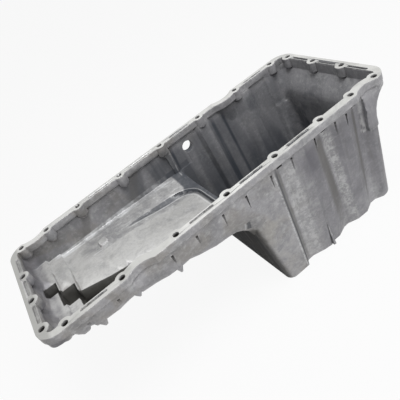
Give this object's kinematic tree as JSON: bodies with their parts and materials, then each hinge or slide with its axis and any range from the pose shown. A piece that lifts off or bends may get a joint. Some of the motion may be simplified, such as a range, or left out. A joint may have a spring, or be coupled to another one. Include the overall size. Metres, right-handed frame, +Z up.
{
  "type": "engine oil pan",
  "caption": "Cast aluminium engine oil pan with a shallow ramped front, a deep sump with waved walls, and a scalloped bolted flange.",
  "frame": {"origin": "centre of the flange's gasket face", "axes": "+X along the length, towards the deep sump; +Y across, towards the dipstick port; +Z up, out of the gasket face"},
  "size_m": [0.559, 0.232, 0.212],
  "materials": {
    "cast_aluminium": "as cast, with a milled gasket face"
  },
  "bodies": {
    "root": {"oil_pan": "cast_aluminium"}
  },
  "joints": []
}
